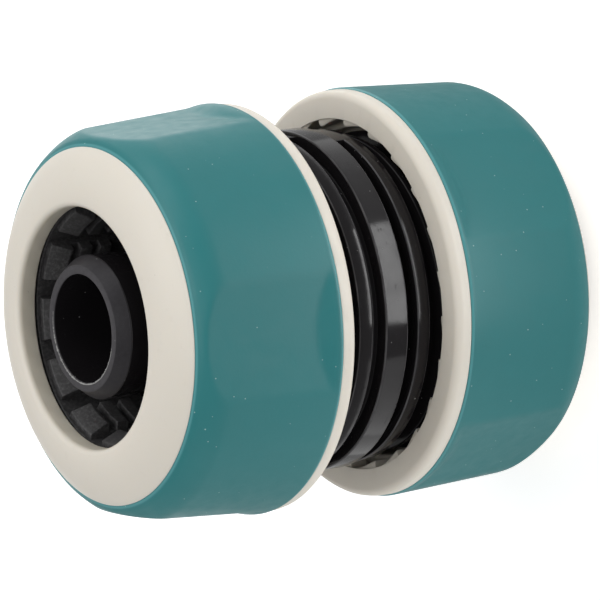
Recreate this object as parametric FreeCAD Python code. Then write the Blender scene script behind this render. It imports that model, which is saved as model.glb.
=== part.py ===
"""Hose mender for a 13 mm garden hose, standing on the tip of its lower spigot.

Millimetres. The hose axis is Z, +Z up. The origin is on the axis, at the end of the lower spigot.
A moulded body carries a spigot and a threaded sleeve on each side of its middle flange.
On each end a nut with a soft grip screws onto the sleeve and holds a slit ring with twelve claws inside.
Each half is drawn once, pointing outwards along +Z from the flange, and flipped for the lower end.
"""
import FreeCAD
import Part
import math
import os

Vec = FreeCAD.Vector
os.makedirs("parts", exist_ok=True)

# Hose spigots and waterway
bore_radius = 5.2
bore_chamfer = 0.2
tip_wall = 0.85
spigot_wall = 1.75
barb_depth = 0.5
stem_relief = 0.35
half_length = 25.05
tip_cone_length = 1.3
first_land_length = 3.2
barb_pitch = 3.3
barb_count = 3

# Middle flange, its shoulders and the threaded sleeves
hose_space = 6.05
sleeve_wall = 1.3
sleeve_end = 13.0
sleeve_chamfer = 0.5
flange_radius = 16.5
flange_half_width = 1.27
flange_edge_chamfer = 0.25
web_half_width = 2.2
shoulder_height = 0.7
shoulder_end = 1.8
foot_height = 0.3
foot_end = 5.15
collar_step = 0.7
collar_start = 2.55
collar_width = 1.45
collar_chamfer = 0.2
block_start_deg = -6.0
block_span_deg = 20.8
blocks_per_side = 2

# Screw thread between the sleeves and the nuts, right hand on both ends
thread_pitch = 3.0
thread_depth = 1.2
thread_crest_width = 0.6
thread_base_width = 1.35
thread_clearance = 0.45
thread_embed = 0.3
thread_body_start = 5.3
thread_body_margin = 0.65
thread_nut_start = 4.0
thread_nut_turns = 2.1

# Claw ring held in the nut: a band with a collar, one slit through it and claws on its inside
claw_count = 12
claw_centre_deg = 3.2
claw_slot_width = 1.9
claw_slot_margin = 1.0
slit_after_claw = 9
claw_ring_length = 9.1
claw_inset = 0.3
claw_sleeve_gap = 0.6
claw_band_wall = 0.5
claw_collar_height = 0.8
claw_collar_length = 2.35
claw_base_wall = 1.2
claw_groove_wall = 1.1
claw_tooth_height = 0.85
claw_lead_wall = 1.05
claw_lead_length = 1.7
claw_land = 0.35
claw_tooth_pitch = 2.15
claw_tooth_land = 1.3
claw_tooth_count = 3

# Nut shell, measured from its inner end outwards
tight_gap = 0.3
tight_flat_deg = 30.0
sleeve_end_gap = 0.97
rib_slope = 0.35
rib_width = 1.0
rib_clearance = 0.35
claw_end_play = 0.2
claw_front_gap = 0.3
pocket_clearance = 0.3
hole_clearance = 0.3
hole_lip_radius = 0.5
hole_lip_width = 0.65
front_wall = 2.0
dome_rise = 2.0
dome_bulge = 0.41
shell_wall = 1.05
front_lip_height = 0.3
mouth_depth = 2.8
mouth_chamfer = 0.25
mouth_clearance = 0.18
rim_wall = 1.3
rim_flange = 1.3
rim_width = 1.6
rim_edge_radius = 0.8
base_end = 4.2

# Saw teeth round the mouth of the nut
tooth_count = 24
tooth_start_deg = 9.2
tooth_height = 0.62
tooth_embed = 0.2
tooth_crest_share = 0.12
tooth_ramp_share = 0.8
tooth_start = 0.15
tooth_length = 1.75

# Soft grip moulded over the nut shell
grip_rim_step = 0.4
grip_rim_chamfer = 0.25
grip_front_step = 0.3
grip_front_length = 1.9
grip_front_rise = 1.5
grip_corner_round = 0.9
grip_corner_cut = 0.19
flat_count = 4
flat_half_angle = 17.1
flat_end = 3.85
flat_end_slope = 0.53

# Where the nuts stand in the photograph, in degrees back from fully tight
turned_back_deg = {"upper": 600.0, "lower": 382.1}

# Radii that follow from those sizes, from the spigot outwards
tip_radius = bore_radius + tip_wall
spigot_radius = bore_radius + spigot_wall
spigot_root_radius = spigot_radius - barb_depth
stem_radius = spigot_radius - stem_relief
sleeve_inner_radius = spigot_radius + hose_space
sleeve_radius = sleeve_inner_radius + sleeve_wall
shoulder_radius = sleeve_radius + shoulder_height
foot_radius = sleeve_radius + foot_height
thread_crest_radius = sleeve_radius + thread_depth
collar_radius = thread_crest_radius + collar_step
nut_thread_radius = sleeve_radius + thread_clearance
nut_bore_radius = thread_crest_radius + thread_clearance
claw_outer_radius = sleeve_inner_radius - claw_sleeve_gap
claw_band_radius = claw_outer_radius - claw_band_wall
claw_collar_radius = claw_outer_radius + claw_collar_height
claw_base_radius = claw_outer_radius - claw_base_wall
claw_groove_radius = claw_outer_radius - claw_groove_wall
claw_tooth_radius = claw_groove_radius - claw_tooth_height
claw_lead_radius = claw_outer_radius - claw_lead_wall
rib_radius = claw_outer_radius + rib_clearance
pocket_radius = claw_collar_radius + pocket_clearance
hole_radius = claw_lead_radius + hole_clearance
crest_radius = hole_radius + hole_lip_width
shell_radius = nut_bore_radius + shell_wall
lip_radius = shell_radius + front_lip_height
mouth_radius = collar_radius + mouth_clearance + tooth_height
base_radius = mouth_radius + rim_wall
rim_radius = base_radius + rim_flange
grip_rim_radius = rim_radius + grip_rim_step
grip_front_radius = lip_radius + grip_front_step
grip_corner_radius = grip_front_radius + grip_front_rise

# Distances in the nut that follow from them, from its inner end outwards
sleeve_reach = sleeve_end - flange_half_width - tight_gap
cavity_top = sleeve_reach + sleeve_end_gap
rib_bottom = cavity_top + rib_slope
rib_top = rib_bottom + rib_width
claw_collar_back = rib_top + claw_end_play
claw_ring_front = claw_collar_back + claw_collar_length
claw_ring_back = claw_ring_front - claw_ring_length
claw_front = claw_ring_front - claw_inset
front_wall_inside = claw_ring_front + claw_front_gap
nut_length = front_wall_inside + front_wall
front_edge = nut_length - dome_rise
grip_corner_distance = front_edge - grip_front_length


def outline(points):
    """A closed face in the XZ plane from (radius, height) points.

    A point written as a pair of points is the middle and the end of an arc.
    """
    edges = []
    here = Vec(points[0][0], 0, points[0][1])
    start = here
    for point in points[1:] + [points[0]]:
        if isinstance(point[0], tuple):
            middle = Vec(point[0][0], 0, point[0][1])
            end = Vec(point[1][0], 0, point[1][1])
            edges.append(Part.Arc(here, middle, end).toShape())
        else:
            end = Vec(point[0], 0, point[1])
            if here.distanceToPoint(end) > 1e-7:
                edges.append(Part.LineSegment(here, end).toShape())
        here = end
    if here.distanceToPoint(start) > 1e-7:
        edges.append(Part.LineSegment(here, start).toShape())
    return Part.Face(Part.Wire(edges))


def turned(points):
    """A solid turned about the hose axis from (radius, height) points."""
    return outline(points).revolve(Vec(0, 0, 0), Vec(0, 0, 1), 360)


def round_corner(centre_radius, centre_height, size, start_deg, end_deg):
    """The start point and the arc of a rounded corner, as outline() takes them."""
    def at(angle):
        turn = math.radians(angle)
        return (centre_radius + size * math.cos(turn), centre_height + size * math.sin(turn))
    return [at(start_deg), (at((start_deg + end_deg) / 2), at(end_deg))]


def thread_ridge(root_radius, depth, start, length):
    """A right hand helical ridge on root_radius; a negative depth stands inwards.

    Its middle line starts at angle 0 and height start, and its ends are square.
    """
    way = 1 if depth > 0 else -1
    root = root_radius - way * thread_embed
    base = thread_base_width / 2 + thread_embed * (thread_base_width - thread_crest_width) / 2 / abs(depth)
    crest = thread_crest_width / 2
    profile = Part.makePolygon([
        Vec(root, 0, start - base),
        Vec(root_radius + depth, 0, start - crest),
        Vec(root_radius + depth, 0, start + crest),
        Vec(root, 0, start + base),
        Vec(root, 0, start - base)])
    path = Part.makeHelix(thread_pitch, length, root_radius)
    path.translate(Vec(0, 0, start))
    return Part.Wire(path.Edges).makePipeShell([profile], True, True)


def ring_block(inner, outer, bottom, top, start_deg, span_deg):
    """A block that follows a ring through span_deg."""
    face = outline([(inner, bottom), (outer, bottom), (outer, top), (inner, top)])
    face.rotate(Vec(0, 0, 0), Vec(0, 0, 1), start_deg)
    return face.revolve(Vec(0, 0, 0), Vec(0, 0, 1), span_deg)


def spigot_points():
    """The outside of a spigot, from its tip down to the web."""
    points = [(tip_radius, half_length), (spigot_radius, half_length - tip_cone_length)]
    step = half_length - tip_cone_length - first_land_length
    for _ in range(barb_count):
        points += [(spigot_radius, step), (spigot_root_radius, step)]
        step -= barb_pitch
        points.append((spigot_radius, step))
    points += [(stem_radius, step), (stem_radius, web_half_width)]
    return points


def body_half():
    """One half of the body: half the flange, a sleeve with its thread and a spigot."""
    collar_end = collar_start + collar_width
    points = [(bore_radius, 0), (bore_radius, half_length - bore_chamfer),
              (bore_radius + bore_chamfer, half_length)]
    points += spigot_points()
    points += [(sleeve_inner_radius, web_half_width), (sleeve_inner_radius, sleeve_end),
               (sleeve_radius - sleeve_chamfer, sleeve_end),
               (sleeve_radius, sleeve_end - sleeve_chamfer),
               (sleeve_radius, foot_end), (foot_radius, foot_end), (foot_radius, collar_end),
               (collar_radius - collar_chamfer, collar_end),
               (collar_radius, collar_end - collar_chamfer),
               (collar_radius, collar_start),
               (sleeve_radius, collar_start), (sleeve_radius, shoulder_end),
               (shoulder_radius, shoulder_end), (shoulder_radius, flange_half_width)]
    points += [(flange_radius - flange_edge_chamfer, flange_half_width),
               (flange_radius, flange_half_width - flange_edge_chamfer), (flange_radius, 0)]
    half = turned(points)
    length = sleeve_end - thread_body_margin - thread_base_width / 2 - thread_body_start
    ridge = thread_ridge(sleeve_radius, thread_depth, thread_body_start, length)
    blocks = []
    for number in range(blocks_per_side):
        start = block_start_deg + 360 * number / blocks_per_side
        blocks.append(ring_block(sleeve_radius - thread_embed, collar_radius, flange_half_width / 2,
                                 (collar_start + collar_end) / 2, start, block_span_deg))
    return half.fuse([ridge] + blocks)


def nut_thread_angle():
    """The angle at which the nut's ridge starts, so that it runs midway between the body's turns."""
    level = (flange_half_width + tight_gap + thread_nut_start
             - thread_body_start - thread_pitch / 2)
    return 360 * level / thread_pitch - tight_flat_deg


def saw_tooth():
    """One tooth inside the nut's mouth: a steep face, a crest and a long ramp."""
    pitch = math.radians(360 / tooth_count)
    base = mouth_radius + tooth_embed
    crest = mouth_radius - tooth_height
    ramp_end = pitch * tooth_ramp_share
    crest_end = pitch * tooth_crest_share
    corners = [(base, 0), (crest, 0), (crest, crest_end), (mouth_radius, ramp_end), (base, ramp_end)]
    points = [Vec(r * math.cos(a), r * math.sin(a), tooth_start) for r, a in corners]
    return Part.Face(Part.makePolygon(points + [points[0]])).extrude(Vec(0, 0, tooth_length))


def nut_shell():
    """The hard shell: front wall with the hose hole, threaded bore, rib and inner rim."""
    dome_middle = ((lip_radius + crest_radius) / 2 + dome_bulge,
                   (front_edge + nut_length) / 2 + dome_bulge)
    points = [(mouth_radius + mouth_chamfer, 0)]
    points += round_corner(rim_radius - rim_edge_radius, rim_edge_radius, rim_edge_radius, -90, 0)
    points += [(rim_radius, rim_width), (base_radius, rim_width),
               (base_radius, base_end), (shell_radius, base_end),
               (shell_radius, front_edge),
               (lip_radius, front_edge),
               (dome_middle, (crest_radius, nut_length))]
    points += round_corner(hole_radius + hole_lip_radius, nut_length - hole_lip_radius,
                           hole_lip_radius, 90, 180)
    points += [(hole_radius, front_wall_inside), (pocket_radius, front_wall_inside),
               (pocket_radius, rib_top), (rib_radius, rib_top), (rib_radius, rib_bottom),
               (nut_bore_radius, cavity_top),
               (nut_bore_radius, mouth_depth + mouth_chamfer),
               (nut_bore_radius + mouth_chamfer, mouth_depth),
               (mouth_radius, mouth_depth), (mouth_radius, mouth_chamfer)]
    shell = turned(points)
    ridge = thread_ridge(nut_bore_radius, nut_thread_radius - nut_bore_radius,
                         thread_nut_start, thread_nut_turns * thread_pitch)
    ridge.rotate(Vec(0, 0, 0), Vec(0, 0, 1), nut_thread_angle())
    teeth = []
    for number in range(tooth_count):
        tooth = saw_tooth()
        tooth.rotate(Vec(0, 0, 0), Vec(0, 0, 1), tooth_start_deg + 360 * number / tooth_count)
        teeth.append(tooth)
    return shell.fuse([ridge] + teeth)


def grip_radius_at(height):
    """The radius of the grip's long tapered face."""
    share = (height - rim_width) / (grip_corner_distance - rim_width)
    return grip_rim_radius + share * (grip_corner_radius - grip_rim_radius)


def flat_reach_at(height):
    """How far a flat lies from the axis at a height."""
    return grip_radius_at(height) * math.cos(math.radians(flat_half_angle))


def square_at(height):
    """The square of the grip's flats at a height."""
    reach = flat_reach_at(height)
    corners = []
    for number in range(flat_count):
        angle = math.radians(360 * (number + 0.5) / flat_count)
        far = reach / math.cos(math.pi / flat_count)
        corners.append(Vec(far * math.cos(angle), far * math.sin(angle), height))
    return Part.makePolygon(corners + [corners[0]])


def grip():
    """The soft grip: a tapered ring with flats that end in a curved step before the rim."""
    back = rim_width
    points = [(shell_radius, base_end), (base_radius, base_end),
              (base_radius, back), (grip_rim_radius - grip_rim_chamfer, back),
              (grip_rim_radius, back + grip_rim_chamfer)]
    before = grip_corner_distance - grip_corner_round
    fall = (grip_corner_radius - grip_front_radius) / (front_edge - grip_corner_distance)
    after = grip_corner_distance + grip_corner_round
    points += [(grip_radius_at(before), before),
               ((grip_corner_radius - grip_corner_cut, grip_corner_distance),
                (grip_corner_radius - fall * grip_corner_round, after)),
               (grip_front_radius, front_edge), (shell_radius, front_edge)]
    ring = turned(points)
    prism = Part.makeLoft([square_at(0), square_at(nut_length)], True, True)
    flat_radius = flat_reach_at(flat_end)
    flare_top = flat_end + rim_width
    flare = Part.makeCone(flat_radius + flat_end_slope * flat_end,
                          flat_radius - flat_end_slope * (flare_top - flat_end),
                          flare_top)
    return ring.common(prism.fuse(flare))


def claw_ring():
    """A slit ring whose claws have a lead-in tooth and square teeth behind it."""
    inside = [(claw_lead_radius, claw_front),
              (claw_tooth_radius, claw_front - claw_lead_length),
              (claw_tooth_radius, claw_front - claw_lead_length - claw_land)]
    level = claw_front - claw_lead_length - claw_land
    for _ in range(claw_tooth_count - 1):
        gap = claw_tooth_pitch - claw_tooth_land
        inside += [(claw_groove_radius, level), (claw_groove_radius, level - gap),
                   (claw_tooth_radius, level - gap),
                   (claw_tooth_radius, level - claw_tooth_pitch)]
        level -= claw_tooth_pitch
    inside += [(claw_base_radius, level), (claw_base_radius, claw_ring_back)]
    outside = [(claw_outer_radius, claw_ring_back), (claw_outer_radius, claw_collar_back),
               (claw_collar_radius, claw_collar_back), (claw_collar_radius, claw_ring_front),
               (claw_band_radius, claw_ring_front), (claw_band_radius, claw_front)]
    ring = turned(inside + outside)
    slots = []
    for number in range(claw_count):
        through = number == slit_after_claw
        reach = claw_collar_radius + claw_slot_margin if through else claw_band_radius
        slot = Part.makeBox(reach, claw_slot_width, claw_ring_length + 2 * claw_slot_margin,
                            Vec(0, -claw_slot_width / 2, claw_ring_back - claw_slot_margin))
        slot.rotate(Vec(0, 0, 0), Vec(0, 0, 1), claw_centre_deg + 360 * (number + 0.5) / claw_count)
        slots.append(slot)
    return ring.cut(slots)


def outwards(shape, end):
    """Puts a shape drawn outwards from the flange's middle on the upper or the lower end."""
    placed = shape.copy()
    if end == "lower":
        placed.rotate(Vec(0, 0, 0), Vec(1, 0, 0), 180)
    placed.translate(Vec(0, 0, half_length))
    return placed


def on_nut(shape, end, turns_with_nut=True):
    """Puts a piece drawn from the nut's inner end where the nut stands on its thread."""
    turned_back = turned_back_deg[end]
    placed = shape.copy()
    if turns_with_nut:
        placed.rotate(Vec(0, 0, 0), Vec(0, 0, 1), turned_back + tight_flat_deg)
    placed.translate(Vec(0, 0, flange_half_width + tight_gap + thread_pitch * turned_back / 360))
    return outwards(placed, end)


def one_solid(shape):
    """The single solid of a fused shape, without the seams left inside its faces."""
    return shape.removeSplitter().Solids[0]


half = body_half()
save = {"body": one_solid(outwards(half, "upper").fuse(outwards(half, "lower")))}
shell_shape = one_solid(nut_shell())
grip_shape = one_solid(grip())
claw_shape = one_solid(claw_ring())
for end in ("upper", "lower"):
    save[end + "_nut_shell"] = on_nut(shell_shape, end)
    save[end + "_grip"] = on_nut(grip_shape, end)
    save[end + "_claw_ring"] = on_nut(claw_shape, end, turns_with_nut=False)

for name, shape in save.items():
    shape.exportStep("parts/" + name + ".step")
    print(name, "volume", round(shape.Volume, 1), "valid", shape.isValid())
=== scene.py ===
"""Looks of the hose mender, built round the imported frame.

Lengths are millimetres up to the mesh builder, which turns them into metres.
A profile is a closed loop of (radius, distance) corners, a piece is turned from it about the hose axis,
and the distance runs outwards from the flange's middle, or from the inner end of a nut.
"""
import math

import bmesh
import bpy
import numpy as np
from mathutils import Matrix, Vector


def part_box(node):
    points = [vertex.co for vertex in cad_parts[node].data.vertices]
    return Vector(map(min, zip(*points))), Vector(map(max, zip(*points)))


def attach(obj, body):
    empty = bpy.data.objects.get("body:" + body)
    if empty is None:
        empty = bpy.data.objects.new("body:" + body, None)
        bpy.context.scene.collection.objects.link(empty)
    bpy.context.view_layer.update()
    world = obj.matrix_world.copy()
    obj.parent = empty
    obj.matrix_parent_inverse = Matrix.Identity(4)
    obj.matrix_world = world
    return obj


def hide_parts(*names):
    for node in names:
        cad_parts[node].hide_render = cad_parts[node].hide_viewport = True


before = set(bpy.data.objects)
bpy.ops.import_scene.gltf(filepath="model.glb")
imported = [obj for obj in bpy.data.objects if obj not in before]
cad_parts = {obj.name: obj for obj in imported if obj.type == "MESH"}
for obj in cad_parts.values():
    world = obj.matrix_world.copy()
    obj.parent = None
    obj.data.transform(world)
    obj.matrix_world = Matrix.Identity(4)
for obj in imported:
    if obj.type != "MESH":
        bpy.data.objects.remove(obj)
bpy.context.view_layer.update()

MM = 0.001
HALF_LENGTH = 25.05
THREAD_PITCH = 3.0
TURN_STEPS = 288

# Edges sharper than these are bevelled, or shaded as sharp
BEVEL_ANGLE = math.radians(35)
SHARP_ANGLE = math.radians(38)

# How far each nut and its flats are turned about the hose axis, in degrees
NUT_TURN = {"upper": 630.0, "lower": 412.1}


def filleted(corners, steps=4):
    """A loop of (radius, distance, weight) points from (radius, distance, fillet, weight) corners."""
    loop = []
    count = len(corners)
    for index, corner in enumerate(corners):
        size = corner[2] if len(corner) > 2 else 0.0
        weight = corner[3] if len(corner) > 3 else 0.0
        here = np.array(corner[:2], float)
        if size <= 0:
            loop.append((here[0], here[1], weight))
            continue
        before = np.array(corners[index - 1][:2], float) - here
        after = np.array(corners[(index + 1) % count][:2], float) - here
        before_length = np.linalg.norm(before)
        after_length = np.linalg.norm(after)
        before /= before_length
        after /= after_length
        half = math.acos(max(-1.0, min(1.0, float(before @ after)))) / 2
        reach = min(size / math.tan(half), 0.49 * before_length, 0.49 * after_length)
        size = reach * math.tan(half)
        middle = before + after
        centre = here + middle / np.linalg.norm(middle) * size / math.sin(half)
        first = here + before * reach - centre
        last = here + after * reach - centre
        span = math.pi - 2 * half
        for step in range(steps + 1):
            share = step / steps
            mix = (math.sin((1 - share) * span) * first + math.sin(share * span) * last) / math.sin(span)
            loop.append((centre[0] + mix[0], centre[1] + mix[1], weight * min(1.0, 4 * share, 4 - 4 * share)))
    return loop


def arc_points(start, middle, end, count):
    """Points on the circle through three points, without its two ends."""
    ax, ay = start
    bx, by = middle
    cx, cy = end
    double = 2 * (ax * (by - cy) + bx * (cy - ay) + cx * (ay - by))
    ux = ((ax**2 + ay**2) * (by - cy) + (bx**2 + by**2) * (cy - ay) + (cx**2 + cy**2) * (ay - by)) / double
    uy = ((ax**2 + ay**2) * (cx - bx) + (bx**2 + by**2) * (ax - cx) + (cx**2 + cy**2) * (bx - ax)) / double
    radius = math.hypot(ax - ux, ay - uy)
    first = math.atan2(ay - uy, ax - ux)
    last = math.atan2(cy - uy, cx - ux)
    return [(ux + radius * math.cos(first + (last - first) * step / (count + 1)),
             uy + radius * math.sin(first + (last - first) * step / (count + 1)))
            for step in range(1, count + 1)]


def grid_faces(rows, columns, wrap_rows, wrap_columns):
    """Quads of a grid of points; a wrapped side joins its last line to its first."""
    faces = []
    for row in range(rows if wrap_rows else rows - 1):
        below = (row + 1) % rows
        for column in range(columns if wrap_columns else columns - 1):
            beside = (column + 1) % columns
            faces.append((row * columns + column, row * columns + beside,
                          below * columns + beside, below * columns + column))
    return faces


def at_angle(angle, loop):
    """The points of a loop of (radius, distance) at an angle about the axis."""
    return [(point[0] * math.cos(angle), point[0] * math.sin(angle), point[1]) for point in loop]


def swept(points, wide):
    """Points and faces of a loop of that many points swept through space, with both ends closed."""
    count = len(points) // wide
    faces = grid_faces(count, wide, False, True)
    faces.append(tuple(range(wide))[::-1])
    faces.append(tuple(range((count - 1) * wide, count * wide)))
    return np.array(points), faces


def turned(loop, angles, inward=None):
    """Points and faces of a loop turned about the axis; inward moves weighted points in at each angle."""
    loop = np.array(loop, float)
    angles = np.asarray(angles, float)
    shift = np.zeros(len(angles)) if inward is None else inward(angles)
    radius = loop[None, :, 0] - shift[:, None] * loop[None, :, 2]
    height = np.broadcast_to(loop[None, :, 1], radius.shape)
    points = np.stack([radius * np.cos(angles)[:, None], radius * np.sin(angles)[:, None], height], -1)
    return points.reshape(-1, 3), grid_faces(len(angles), len(loop), True, True)


def ridge(profile, start_angle, start_height, turns, steps_per_turn=96):
    """Points and faces of a right hand helical ridge with square ends."""
    count = int(turns * steps_per_turn) + 1
    points = []
    for step in range(count):
        angle = start_angle + 2 * math.pi * turns * step / (count - 1)
        height = start_height + THREAD_PITCH * turns * step / (count - 1)
        points += at_angle(angle, [(r, height + t) for r, t, _ in profile])
    return swept(points, len(profile))


def linked(name, data):
    """The object of that data, in the scene."""
    made = bpy.data.objects.new(name, data)
    bpy.context.scene.collection.objects.link(made)
    return made


class Shape:
    """Gathers the parts of one piece in one mesh."""

    def __init__(self):
        self.mesh = bmesh.new()
        self.edge = self.mesh.verts.layers.float.new("edge")

    def add(self, points, faces, place=None, bevel=0.0, edge=None):
        """Adds points, placed by a matrix, and rounds their sharp edges by the bevel.

        The edge values go to the attribute "edge", where the materials paint a lighter colour as a highlight.
        """
        part = bmesh.new()
        layer = part.verts.layers.float.new("edge")
        corners = [part.verts.new(Vector(p)) for p in points]
        if edge is not None:
            for corner, value in zip(corners, edge):
                corner[layer] = value
        for face in faces:
            part.faces.new([corners[i] for i in face])
        bmesh.ops.recalc_face_normals(part, faces=part.faces[:])
        if bevel:
            sharp = [e for e in part.edges if e.calc_face_angle(0) > BEVEL_ANGLE]
            bmesh.ops.bevel(part, geom=sharp, offset=bevel, segments=2, profile=0.5, affect="EDGES")
        if place is not None:
            part.transform(place)
        scratch = bpy.data.meshes.new("scratch")
        part.to_mesh(scratch)
        part.free()
        self.mesh.from_mesh(scratch)
        bpy.data.meshes.remove(scratch)

    def piece(self, name, end, material, body, node):
        """Makes the object of the gathered parts, in metres and at its end of the mender."""
        self.mesh.transform(outwards(end))
        data = bpy.data.meshes.new(name)
        self.mesh.to_mesh(data)
        self.mesh.free()
        for face in data.polygons:
            face.use_smooth = True
        data.set_sharp_from_angle(angle=SHARP_ANGLE)
        data.materials.append(material)
        made = linked(name, data)
        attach(made, body)
        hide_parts(node)
        made.modifiers.new("even_normals", "WEIGHTED_NORMAL").keep_sharp = True


def flipped(end):
    """Matrix that turns a half over for the lower end."""
    return Matrix.Rotation(math.pi, 4, "X") if end == "lower" else Matrix.Identity(4)


def outwards(end):
    """Matrix from a half drawn outwards from the flange's middle, in mm, to its end, in metres."""
    return Matrix.Translation((0, 0, HALF_LENGTH * MM)) @ flipped(end) @ Matrix.Scale(MM, 4)


def nut_start(end):
    """How far the inner end of a nut lies from the flange's middle, read from the frame."""
    low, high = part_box(end + "_nut_shell")
    middle = HALF_LENGTH * MM
    return (low.z - middle if end == "upper" else middle - high.z) / MM


def on_nut(end, turns_with_nut=True):
    """Matrix from a piece drawn from the nut's inner end to its place in a half."""
    turn = math.radians(NUT_TURN[end]) if turns_with_nut else 0.0
    return Matrix.Translation((0, 0, nut_start(end))) @ Matrix.Rotation(turn, 4, "Z")


# Body: flange, collars, threaded sleeves and spigots

FLANGE_HALF = 1.27
FLANGE_RADIUS = 16.5
SPIGOT_CORNERS = [
    (5.2, HALF_LENGTH, 0.15), (6.05, HALF_LENGTH, 0.08, 0.6), (6.95, 23.75, 0.1, 0.8),
    (6.95, 20.55, 0.06), (6.45, 20.55), (6.95, 17.25, 0.06), (6.45, 17.25),
    (6.95, 13.95, 0.06), (6.45, 13.95), (6.95, 10.65, 0.06), (6.6, 10.65), (6.6, 2.2, 0.4)]
SLEEVE_CORNERS = [
    (13.0, 2.2, 0.4), (13.0, 13.0, 0.15), (14.3, 13.0, 0.5), (14.3, 5.15),
    (14.6, 5.15, 0.08), (14.6, 4.0, 0.1), (16.08, 4.0, 0.13, 1), (16.2, 2.55, 0.13, 1),
    (14.3, 2.55, 0.08), (14.3, 1.8, 0.08), (15.0, 1.8, 0.1, 1), (15.0, FLANGE_HALF, 0.08),
    (FLANGE_RADIUS, FLANGE_HALF, 0.17, 1)]
BODY_THREAD = filleted([(14.1, -0.8), (14.3, -0.675, 0.12), (15.5, -0.3, 0.2), (15.5, 0.3, 0.2),
                        (14.3, 0.675, 0.12), (14.1, 0.8)], 3)
BODY_THREAD_START = 5.3
BODY_THREAD_LENGTH = 6.375

# The blocks that the saw teeth click past; angles in degrees
BLOCK_LOOP = [(14.0, 0.6), (16.2, 0.6), (16.2, 3.3), (14.0, 3.3)]
BLOCK_STARTS = (-6.0, 174.0)
BLOCK_SPAN = 20.8
BLOCK_BEVEL = 0.12

# The flash round the spigot's mouth; its edge value is above 1, so that the material tells it from edges with a
# painted highlight
FLASH_START = 78.0
FLASH_SPAN = 178.0
FLASH_INNER = 5.36
FLASH_OUTER = 5.42
FLASH_FOOT = 24.98
FLASH_EDGE = 2.0


def ring_block(start, steps=8):
    """Points and faces of a block that follows the ring from that angle."""
    points = []
    for step in range(steps + 1):
        points += at_angle(math.radians(start + BLOCK_SPAN * step / steps), BLOCK_LOOP)
    return swept(points, len(BLOCK_LOOP))


def flash(steps=260):
    """Points and faces of the ragged flash left round part of the bore's mouth."""
    draw = np.random.RandomState(5)
    rough = np.convolve(draw.uniform(0, 1, steps + 5), [0.2, 0.6, 0.2], "same")[2:steps + 3]
    points = []
    for step in range(steps + 1):
        share = step / steps
        taper = math.sin(math.pi * max(0.02, share)) ** 0.5
        size = (0.02 + 0.2 * rough[step] ** 2) * taper
        inner = FLASH_INNER - 0.7 * size
        loop = [(inner, FLASH_FOOT), (FLASH_OUTER, FLASH_FOOT),
                (FLASH_OUTER - 0.02, HALF_LENGTH - 0.01 + 0.7 * size), (inner, HALF_LENGTH + 0.4 * size)]
        points += at_angle(math.radians(FLASH_START + FLASH_SPAN * share), loop)
    return swept(points, 4)


def make_body(material):
    corners = SPIGOT_CORNERS + SLEEVE_CORNERS
    mirrored = [(c[0], -c[1]) + tuple(c[2:]) for c in reversed(corners)]
    shape = Shape()
    loop = filleted(corners + mirrored)
    angles = np.linspace(0, 2 * math.pi, TURN_STEPS, endpoint=False)
    shape.add(*turned(loop, angles), edge=[point[2] for point in loop] * TURN_STEPS)
    for end in ("upper", "lower"):
        flip = flipped(end)
        turns = BODY_THREAD_LENGTH / THREAD_PITCH
        shape.add(*ridge(BODY_THREAD, 0.0, BODY_THREAD_START, turns), place=flip)
        for start in BLOCK_STARTS:
            shape.add(*ring_block(start), place=flip, bevel=BLOCK_BEVEL)
    points, faces = flash()
    shape.add(points, faces, edge=[FLASH_EDGE] * len(points))
    shape.piece("body_moulding", "upper", material, "body", "body")


# Nut shell: rim with saw teeth, dome round the hose hole, internal thread

TOOTH_COUNT = 24
TOOTH_START = math.radians(9.2)
TOOTH_HEIGHT = 0.62

# Where along a tooth its steep face, its crest and its ramp end
TOOTH_FACE = 0.012
TOOTH_CREST = 0.12
TOOTH_RAMP = 0.8
DOME = arc_points((17.3, 16.6), (15.16, 18.01), (12.3, 18.6), 9)
SHELL_CORNERS = (
    [(17.0, 0.0, 0.25), (19.72, 0.0, 0.8), (19.72, 1.6, 0.1), (18.3, 1.6), (18.3, 4.2), (17.0, 4.2),
     (17.0, 16.6), (17.3, 16.6, 0.05)] + DOME
    + [(11.65, 18.6, 0.6), (11.65, 16.6, 0.2), (13.5, 16.6), (13.5, 13.75),
       (12.75, 13.75), (12.75, 12.75), (15.95, 12.4), (15.95, 2.8, 0.25), (17.0, 2.8),
       (17.0, 1.9), (17.0, 1.86, 0, 1), (17.0, 0.3, 0, 1), (17.0, 0.18, 0, 0.6), (17.0, 0.15)])
NUT_THREAD = filleted([(16.1, -0.8), (15.95, -0.675, 0.12), (14.75, -0.3, 0.2), (14.75, 0.3, 0.2),
                       (15.95, 0.675, 0.12), (16.1, 0.8)], 3)
NUT_THREAD_START = 4.0
NUT_THREAD_TURNS = 2.1
NUT_THREAD_LAG = 30.0
NUT_SEAT_GAP = 0.3


def saw(angles):
    """How far the saw teeth stand in at each angle: a steep face, a crest and a ramp."""
    share = np.mod((angles - TOOTH_START) * TOOTH_COUNT / (2 * math.pi), 1.0)
    return TOOTH_HEIGHT * np.interp(share, [0, TOOTH_FACE, TOOTH_CREST, TOOTH_RAMP, 1], [0, 1, 1, 0, 0])


def tooth_angles():
    """Angles round the mouth, with a point at each corner of each tooth."""
    shares = [0, TOOTH_FACE, 0.06, TOOTH_CREST, 0.25, 0.4, 0.55, 0.68, TOOTH_RAMP, 0.9]
    return np.array([TOOTH_START + 2 * math.pi * (tooth + share) / TOOTH_COUNT
                     for tooth in range(TOOTH_COUNT) for share in shares])


def nut_thread_angle():
    """Where the nut's ridge starts, so that it runs midway between the turns on the sleeve."""
    level = FLANGE_HALF + NUT_SEAT_GAP + NUT_THREAD_START - BODY_THREAD_START - THREAD_PITCH / 2
    return math.radians(360 * level / THREAD_PITCH - NUT_THREAD_LAG)


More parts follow.
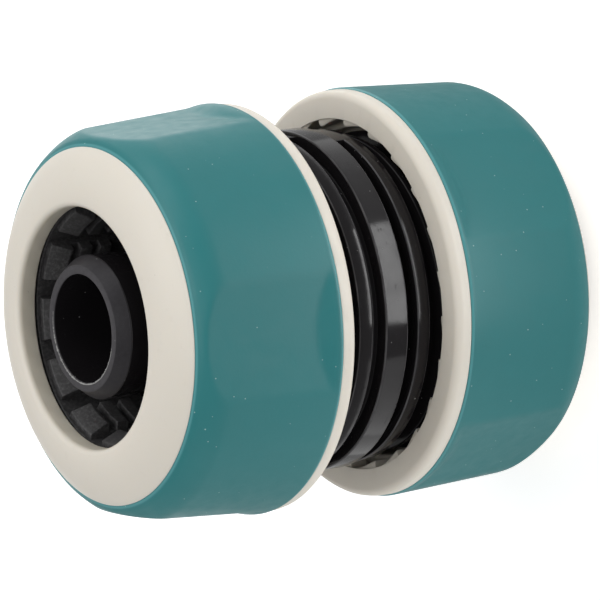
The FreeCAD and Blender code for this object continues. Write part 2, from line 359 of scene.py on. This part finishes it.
def make_shell(end, material):
    shape = Shape()
    place = on_nut(end)
    shape.add(*turned(filleted(SHELL_CORNERS), tooth_angles(), saw), place=place)
    shape.add(*ridge(NUT_THREAD, nut_thread_angle(), NUT_THREAD_START, NUT_THREAD_TURNS), place=place)
    shape.piece(end + "_shell_moulding", end, material, end + "_nut", end + "_nut_shell")


# Grip: a tapered soft ring with four flats

GRIP_RIM = 19.88
GRIP_CORNER = (19.1, 14.7)
GRIP_FRONT = (17.6, 16.6)
GRIP_BACK = 1.6
GRIP_INSIDE = [(17.0, 16.6), (17.0, 4.2), (18.3, 4.2), (18.3, 1.6)]
FLAT_SHARE = math.cos(math.radians(17.1))
FLAT_END = 3.85
FLAT_SLOPE = 0.53

# Distances of the grip's rings, and how much it is rounded off and gets a painted highlight near its two ends
GRIP_HEIGHTS = np.concatenate([[1.62, 1.68, 1.78, 1.9], np.linspace(2.1, 13.6, 34),
                               np.linspace(13.8, 16.2, 15), [16.35, 16.45, 16.54, 16.59]])
DROP_HEIGHTS = [1.62, 1.68, 1.78, 1.9, 16.2, 16.35, 16.45, 16.54, 16.59]
DROPS = [0.14, 0.09, 0.03, 0.0, 0.0, 0.06, 0.13, 0.21, 0.27]
HIGHLIGHT_HEIGHTS = [1.6, 1.78, 1.9, 16.45, 16.54, 16.6]
HIGHLIGHTS = [1, 1, 0, 0, 1, 1]


def soft_min(a, b, blend):
    """The lesser of two values with a rounded change-over."""
    mix = np.clip(0.5 + 0.5 * (b - a) / blend, 0, 1)
    return b * (1 - mix) + a * mix - blend * mix * (1 - mix)


def soft_max(a, b, blend):
    """The greater of two values with a rounded change-over."""
    return -soft_min(-a, -b, blend)


def grip_radius(angles, heights):
    """The radius of the grip's outside over a grid of angles and distances."""
    taper = GRIP_RIM + (heights - GRIP_BACK) / (GRIP_CORNER[1] - GRIP_BACK) * (GRIP_CORNER[0] - GRIP_RIM)
    fall = (GRIP_CORNER[0] - GRIP_FRONT[0]) / (GRIP_FRONT[1] - GRIP_CORNER[1])
    slope = GRIP_CORNER[0] - fall * (heights - GRIP_CORNER[1])
    around = soft_min(taper, slope, 0.9)
    turn = np.mod(angles + math.pi / 4, math.pi / 2) - math.pi / 4
    square = taper * FLAT_SHARE / np.cos(turn)
    flare = taper * FLAT_SHARE + FLAT_SLOPE * (FLAT_END - heights)
    return soft_min(around, soft_max(square, flare, 0.12), 0.16)


def make_grip(end, material):
    angles = np.linspace(0, 2 * math.pi, 480, endpoint=False)
    grid_angle, grid_height = np.meshgrid(angles, GRIP_HEIGHTS, indexing="ij")
    radius = grip_radius(grid_angle, grid_height)
    radius = np.minimum(radius, GRIP_RIM) - np.interp(GRIP_HEIGHTS, DROP_HEIGHTS, DROPS)
    inside = np.array(GRIP_INSIDE)
    radius = np.concatenate([radius, np.tile(inside[:, 0], (len(angles), 1))], 1)
    height = np.concatenate([grid_height, np.tile(inside[:, 1], (len(angles), 1))], 1)
    turn = angles[:, None]
    points = np.stack([radius * np.cos(turn), radius * np.sin(turn), height], -1).reshape(-1, 3)
    # How strongly each ring of the grip gets the painted edge highlight
    edge_highlight = np.interp(GRIP_HEIGHTS, HIGHLIGHT_HEIGHTS, HIGHLIGHTS)
    edge = np.tile(np.concatenate([edge_highlight, np.zeros(len(inside))]), len(angles))
    shape = Shape()
    faces = grid_faces(len(angles), radius.shape[1], True, True)
    shape.add(points, faces, place=on_nut(end), edge=edge)
    shape.piece(end + "_grip_moulding", end, material, end + "_nut", end + "_grip")


# Claw ring: a slit band with a collar, and twelve claws on its inside

CLAW_COUNT = 12
CLAW_CENTRE = 3.2
CLAW_BEVEL = 0.1

# Half the width of the slots between the claws, and the claw that the slit comes after
CLAW_SLOT = 0.95
SLIT_AFTER = 9
CLAW_LOOP = [(11.2, 7.2), (11.2, 9.65), (10.45, 9.65), (10.45, 10.95), (11.3, 10.95), (11.3, 11.8),
             (10.45, 11.8), (10.45, 13.1), (11.3, 13.1), (11.3, 13.95), (10.45, 13.95),
             (10.45, 14.3), (11.35, 16.0), (12.0, 16.0), (12.0, 7.2)]
BAND_LOOP = [(11.9, 7.2, 0.1), (12.4, 7.2, 0.1), (12.4, 13.95, 0.05), (13.2, 13.95, 0.1),
             (13.2, 16.3, 0.12), (11.9, 16.3, 0.12)]


def claw(loop, centre, steps=5):
    """Points and faces of one claw, whose sides run parallel to the slots beside it."""
    points = []
    for step in range(steps + 1):
        side = 2 * step / steps - 1
        for r, t in loop:
            angle = centre + side * (math.pi / CLAW_COUNT - math.asin(CLAW_SLOT / r))
            points += at_angle(angle, [(r, t)])
    return swept(points, len(loop))


def slit_band(loop, middle, steps=160):
    """Points and faces of a band with one slit, as wide as the slots."""
    points = []
    for step in range(steps + 1):
        for r, t, _ in loop:
            half = math.asin(CLAW_SLOT / r)
            angle = middle + half + (2 * math.pi - 2 * half) * step / steps
            points += at_angle(angle, [(r, t)])
    return swept(points, len(loop))


def make_claws(end, material):
    shape = Shape()
    place = on_nut(end, turns_with_nut=False)
    slit = math.radians(CLAW_CENTRE + 360 * (SLIT_AFTER + 0.5) / CLAW_COUNT)
    shape.add(*slit_band(filleted(BAND_LOOP, 3), slit), place=place)
    for number in range(CLAW_COUNT):
        centre = math.radians(CLAW_CENTRE + 360 * number / CLAW_COUNT)
        shape.add(*claw(CLAW_LOOP, centre), place=place, bevel=CLAW_BEVEL)
    shape.piece(end + "_claws_moulding", end, material, end + "_claws", end + "_claw_ring")


# Materials

class Nodes:
    """A material's node tree with short names for what this script needs."""

    def __init__(self, name):
        self.material = bpy.data.materials.new(name)
        self.material.use_nodes = True
        self.tree = self.material.node_tree
        self.shader = self.tree.nodes["Principled BSDF"]
        self.place = self.tree.nodes.new("ShaderNodeTexCoord").outputs["Object"]

    def node(self, kind, inputs=(), **settings):
        made = self.tree.nodes.new(kind)
        for key, value in settings.items():
            setattr(made, key, value)
        for key, value in dict(inputs).items():
            self.link(value, made.inputs[key])
        return made

    def link(self, value, socket):
        if isinstance(value, bpy.types.NodeSocket):
            self.tree.links.new(value, socket)
        else:
            socket.default_value = value

    def noise(self, scale, detail=2.0, roughness=0.5, place=None):
        """Noise from 0 to 1, with scale in features per metre."""
        return self.node("ShaderNodeTexNoise", {"Vector": place or self.place, "Scale": scale,
                                                "Detail": detail, "Roughness": roughness}).outputs["Fac"]

    def ramp(self, value, low, high, to_low=0.0, to_high=1.0):
        return self.node("ShaderNodeMapRange", {"Value": value, "From Min": low, "From Max": high,
                                                "To Min": to_low, "To Max": to_high}).outputs["Result"]

    def maths(self, operation, a, b=0.0):
        return self.node("ShaderNodeMath", {0: a, 1: b}, operation=operation).outputs["Value"]

    def mix(self, share, a, b):
        made = self.node("ShaderNodeMix", data_type="RGBA")
        self.link(share, made.inputs[0])
        self.link(a, made.inputs[6])
        self.link(b, made.inputs[7])
        return made.outputs[2]

    def stretched(self, scale):
        return self.node("ShaderNodeMapping", {"Vector": self.place, "Scale": scale}).outputs["Vector"]

    def specks(self, scale, size, share, place=None):
        """Small dots: 1 on the dots, 0 elsewhere; share of the cells have one."""
        cells = self.node("ShaderNodeTexVoronoi", {"Vector": place or self.place, "Scale": scale})
        dot = self.ramp(cells.outputs["Distance"], size, size * 0.6)
        kept = self.node("ShaderNodeSeparateColor", {"Color": cells.outputs["Color"]}).outputs[0]
        return self.maths("MULTIPLY", dot, self.maths("LESS_THAN", kept, share))

    def bump(self, height, distance, strength=1.0, normal=None):
        inputs = {"Height": height, "Distance": distance, "Strength": strength}
        if normal is not None:
            inputs["Normal"] = normal
        return self.node("ShaderNodeBump", inputs).outputs["Normal"]

    def attribute(self, name):
        return self.node("ShaderNodeAttribute", attribute_name=name).outputs["Fac"]

    def radius(self):
        """Distance from the hose axis in metres."""
        across = self.stretched((1, 1, 0))
        return self.node("ShaderNodeVectorMath", {0: across}, operation="LENGTH").outputs["Value"]


def black_material():
    """Moulded black plastic, glossy, with painted highlights on its edges, scuffs, dust, matt spigots and pale
    flash.
    """
    n = Nodes("black_moulding")
    cloud = n.noise(180, 3)
    scuff = n.ramp(n.noise(900, 5, 0.7, n.stretched((1, 1, 2.5))), 0.6, 0.74)
    dust = n.maths("MAXIMUM", n.specks(800, 0.05, 0.6), n.specks(420, 0.036, 0.6))
    base = n.mix(cloud, (0.009, 0.008, 0.009, 1), (0.013, 0.0118, 0.013, 1))
    base = n.mix(n.maths("MULTIPLY", scuff, 0.15), base, (0.04, 0.04, 0.043, 1))
    # The spigot's end face and cone are matt and lighter than its bore and barrel
    spigot = n.maths("MULTIPLY", n.ramp(n.radius(), 0.00521, 0.00526), n.ramp(n.radius(), 0.00693, 0.00688))
    grain = n.ramp(n.noise(2200, 3, 0.6), 0.3, 0.7, 0.7, 1.0)
    tip = n.mix(n.ramp(n.radius(), 0.00597, 0.00601), (0.060, 0.057, 0.062, 1), (0.033, 0.031, 0.035, 1))
    base = n.mix(n.maths("MULTIPLY", spigot, grain), base, tip)
    # Lighter colour along the rounded edges, broken up by noise: a painted highlight on the edges
    edge_highlight = n.maths("MULTIPLY", n.attribute("edge"), n.ramp(n.noise(260, 3), 0.3, 0.6, 0.25, 1.0))
    base = n.mix(edge_highlight, base, (0.085, 0.083, 0.087, 1))
    base = n.mix(n.maths("MULTIPLY", dust, 0.6), base, (0.4, 0.4, 0.39, 1))
    base = n.mix(n.maths("GREATER_THAN", n.attribute("edge"), (1 + FLASH_EDGE) / 2), base, (0.32, 0.32, 0.31, 1))
    rough = n.ramp(n.noise(320, 4, 0.6), 0.3, 0.75, 0.09, 0.17)
    rough = n.maths("ADD", rough, n.maths("MULTIPLY", scuff, 0.2))
    rough = n.maths("ADD", rough, n.maths("MULTIPLY", spigot, 0.25))
    n.link(base, n.shader.inputs["Base Color"])
    n.link(rough, n.shader.inputs["Roughness"])
    n.shader.inputs["Specular IOR Level"].default_value = 0.175
    waves = n.bump(n.noise(140, 2), 0.00003, 0.4)
    fine = n.bump(n.noise(2600, 3), 0.000004, 0.5, waves)
    n.link(n.bump(dust, 0.00003, 0.6, fine), n.shader.inputs["Normal"])
    return n.material


def claw_material():
    """The same black, but grainy and matt on the claws."""
    n = Nodes("black_grained")
    grain = n.noise(3200, 3, 0.7)
    cloud = n.noise(300, 3)
    base = n.mix(cloud, (0.030, 0.029, 0.030, 1), (0.052, 0.051, 0.052, 1))
    base = n.mix(n.ramp(grain, 0.45, 0.75), base, (0.10, 0.098, 0.10, 1))
    dust = n.specks(500, 0.035, 0.4)
    base = n.mix(n.maths("MULTIPLY", dust, 0.4), base, (0.35, 0.35, 0.34, 1))
    n.link(base, n.shader.inputs["Base Color"])
    n.link(n.ramp(grain, 0.3, 0.7, 0.42, 0.62), n.shader.inputs["Roughness"])
    n.shader.inputs["Specular IOR Level"].default_value = 0.4
    n.link(n.bump(grain, 0.00003, 0.7), n.shader.inputs["Normal"])
    return n.material


def cream_material():
    """Moulded cream plastic, satin, with faint mottling, a little grime, and painted shade on the hose hole's
    wall.
    """
    n = Nodes("cream_moulding")
    cloud = n.noise(70, 3)
    mottle = n.noise(900, 3, 0.6)
    base = n.mix(cloud, (0.70, 0.655, 0.575, 1), (0.735, 0.69, 0.61, 1))
    base = n.mix(n.ramp(mottle, 0.62, 0.8, 0, 0.25), base, (0.60, 0.55, 0.46, 1))
    # The hose hole's wall is darkened and yellowed: painted shade in the recess
    hole = n.ramp(n.radius(), 0.01185, 0.01165, 0, 0.3)
    base = n.mix(hole, base, (0.50, 0.45, 0.31, 1))
    grime = n.specks(500, 0.03, 0.4)
    base = n.mix(n.maths("MULTIPLY", grime, 0.5), base, (0.22, 0.19, 0.15, 1))
    n.link(base, n.shader.inputs["Base Color"])
    n.link(n.ramp(n.noise(500, 4), 0.3, 0.7, 0.4, 0.52), n.shader.inputs["Roughness"])
    n.shader.inputs["Subsurface Weight"].default_value = 0.12
    n.shader.inputs["Subsurface Radius"].default_value = (0.0012, 0.0009, 0.0006)
    n.shader.inputs["Subsurface Scale"].default_value = 1.0
    waves = n.bump(n.noise(160, 2), 0.00004, 0.5)
    n.link(n.bump(n.noise(2400, 3), 0.000008, 0.5, waves), n.shader.inputs["Normal"])
    return n.material


def teal_material():
    """Soft teal moulding, matt, with dust, short hairs and painted highlights on its edges."""
    n = Nodes("teal_soft")
    cloud = n.noise(60, 4, 0.6)
    base = n.mix(cloud, (0.0105, 0.160, 0.168, 1), (0.017, 0.186, 0.197, 1))
    smear = n.ramp(n.noise(110, 5, 0.65, n.stretched((1, 1, 0.4))), 0.55, 0.8, 0, 0.3)
    base = n.mix(smear, base, (0.045, 0.19, 0.20, 1))
    # Lighter teal along the grip's rounded ends: a painted highlight
    base = n.mix(n.maths("MULTIPLY", n.attribute("edge"), 0.6), base, (0.10, 0.34, 0.36, 1))
    dots = n.maths("MAXIMUM", n.specks(700, 0.05, 0.9), n.specks(430, 0.036, 0.95))
    hairs = n.maths("MAXIMUM", n.specks(700, 0.035, 0.2, n.stretched((1, 0.12, 1))),
                    n.specks(700, 0.035, 0.2, n.stretched((0.14, 1, 0.4))))
    dust = n.maths("MAXIMUM", dots, hairs)
    base = n.mix(n.maths("MULTIPLY", dust, 0.65), base, (0.5, 0.66, 0.63, 1))
    n.link(base, n.shader.inputs["Base Color"])
    n.link(n.ramp(n.noise(700, 4), 0.3, 0.7, 0.38, 0.48), n.shader.inputs["Roughness"])
    n.shader.inputs["Specular IOR Level"].default_value = 0.45
    waves = n.bump(n.noise(120, 2), 0.00005, 0.5)
    fine = n.bump(n.noise(2800, 3, 0.65), 0.000014, 0.6, waves)
    n.link(n.bump(dust, 0.00003, 0.5, fine), n.shader.inputs["Normal"])
    return n.material


# The pieces

black = black_material()
grained = claw_material()
cream = cream_material()
teal = teal_material()
make_body(black)
for end in ("upper", "lower"):
    make_shell(end, cream)
    make_grip(end, teal)
    make_claws(end, grained)


# Camera, floor and light

CAMERA_AT = Vector((0.17346, -0.96667, 0.63381))
FORWARD = Vector((-0.15016, 0.83678, -0.52655))
RIGHT = Vector((-0.03653, -0.53692, -0.84284))
UP = Vector((0.98799, 0.10733, -0.11119))
MIDDLE = Vector((0, 0, HALF_LENGTH * MM))
SOFTBOX_DISTANCE = 0.7
SOFTBOX_SIZE = 0.45

# Where the flange mirrors the floor: twice an angle round it plus this turn, that far out, in mm; width in m
MIRROR_TURN = math.radians(79.9)
MIRROR_REACH = 40.4
MIRROR_WIDTH = 0.011


def make_camera():
    data = bpy.data.cameras.new("camera")
    data.sensor_width = 36.0
    data.lens = 720.0
    data.clip_start = 0.1
    data.clip_end = 20.0
    made = linked("camera", data)
    turn = Matrix((RIGHT, UP, -FORWARD)).transposed().to_4x4()
    made.matrix_world = Matrix.Translation(CAMERA_AT) @ turn
    bpy.context.scene.camera = made


def make_floor():
    data = bpy.data.meshes.new("floor")
    half, level = 3.0, -0.05 * MM
    corners = [(-half, -half, level), (half, -half, level), (half, half, level), (-half, half, level)]
    data.from_pydata(corners, [], [(0, 1, 2, 3)])
    n = Nodes("floor")
    tone = n.mix(n.noise(3, 2), (0.86, 0.86, 0.86, 1), (0.9, 0.9, 0.9, 1))
    n.link(tone, n.shader.inputs["Base Color"])
    n.shader.inputs["Roughness"].default_value = 0.9
    n.shader.inputs["Specular IOR Level"].default_value = 0.1
    n.shader.inputs["Emission Color"].default_value = (1, 1, 1, 1)
    n.shader.inputs["Emission Strength"].default_value = 0.52
    data.materials.append(n.material)
    made = linked("floor", data)
    made.visible_glossy = False


def area_light(name, length, width, power):
    """A rectangular light that the camera doesn't see."""
    data = bpy.data.lights.new(name, "AREA")
    data.shape = "RECTANGLE"
    data.size = length
    data.size_y = width
    data.energy = power
    made = linked(name, data)
    made.visible_camera = False
    return made


def make_light(name, aim, power):
    """A softbox on the side of the object given as shares of right, up and towards the camera."""
    way = (RIGHT * aim[0] + UP * aim[1] - FORWARD * aim[2]).normalized()
    made = area_light(name, SOFTBOX_SIZE, SOFTBOX_SIZE, power)
    made.location = MIDDLE + way * SOFTBOX_DISTANCE
    made.rotation_mode = "QUATERNION"
    made.rotation_quaternion = way.to_track_quat("Z", "Y")


def make_world():
    world = bpy.data.worlds.new("world")
    world.use_nodes = True
    back = world.node_tree.nodes["Background"]
    back.inputs["Color"].default_value = (1, 1, 1, 1)
    back.inputs["Strength"].default_value = 0.5
    bpy.context.scene.world = world


def make_mirror_strip(name, start, end, radiance, count):
    """Lights on the floor, facing up, where the flange mirrors them between two angles round it."""
    points = []
    for step in range(count + 1):
        facing = math.radians(start + (end - start) * step / count)
        away = 2 * facing + MIRROR_TURN
        points.append(Vector((FLANGE_RADIUS * math.cos(facing) + MIRROR_REACH * math.cos(away),
                              FLANGE_RADIUS * math.sin(facing) + MIRROR_REACH * math.sin(away), 1.0)) * MM)
    for number in range(count):
        along = points[number + 1] - points[number]
        power = radiance * math.pi * along.length * MIRROR_WIDTH
        made = area_light(name, along.length, MIRROR_WIDTH, power)
        made.location = (points[number] + points[number + 1]) / 2
        made.rotation_euler = (math.pi, 0, math.atan2(along.y, along.x))
        made.visible_diffuse = False


def make_floor_sheen(name, azimuth, power):
    """A wide light on the floor beside the object, facing up, that the soft grips and rims mirror."""
    near, far, width = 0.06, 0.3, 0.09
    made = area_light(name, far - near, width, power)
    turn = math.radians(azimuth)
    middle = (near + far) / 2
    made.location = (math.cos(turn) * middle, math.sin(turn) * middle, MM)
    made.rotation_euler = (math.pi, 0, turn)
    made.visible_diffuse = False


make_camera()
make_floor()
make_world()
make_light("front_left", (-0.6, 0.0, 1.0), 0.84)
make_light("upper_left", (-0.6, 0.8, 0.4), 1.02)
make_light("left", (-1.0, 0.2, 0.5), 1.02)
make_light("top_back", (-0.3, 0.8, -0.5), 0.65)
make_light("below", (-0.1, -1.0, 0.3), 0.2)
make_floor_sheen("sheen_55", 55, 0.06)
make_floor_sheen("sheen_80", 80, 0.065)
make_floor_sheen("sheen_105", 105, 0.08)
make_mirror_strip("mirror_bright", -57.8, -91.5, 11.5, 3)
make_mirror_strip("mirror_soft", -103.8, -136.0, 1.6, 3)
make_mirror_strip("mirror_low", -136.0, -148.8, 0.7, 1)
make_mirror_strip("mirror_dim", -15.0, -57.8, 0.8, 4)
bpy.context.scene.view_settings.view_transform = "Standard"
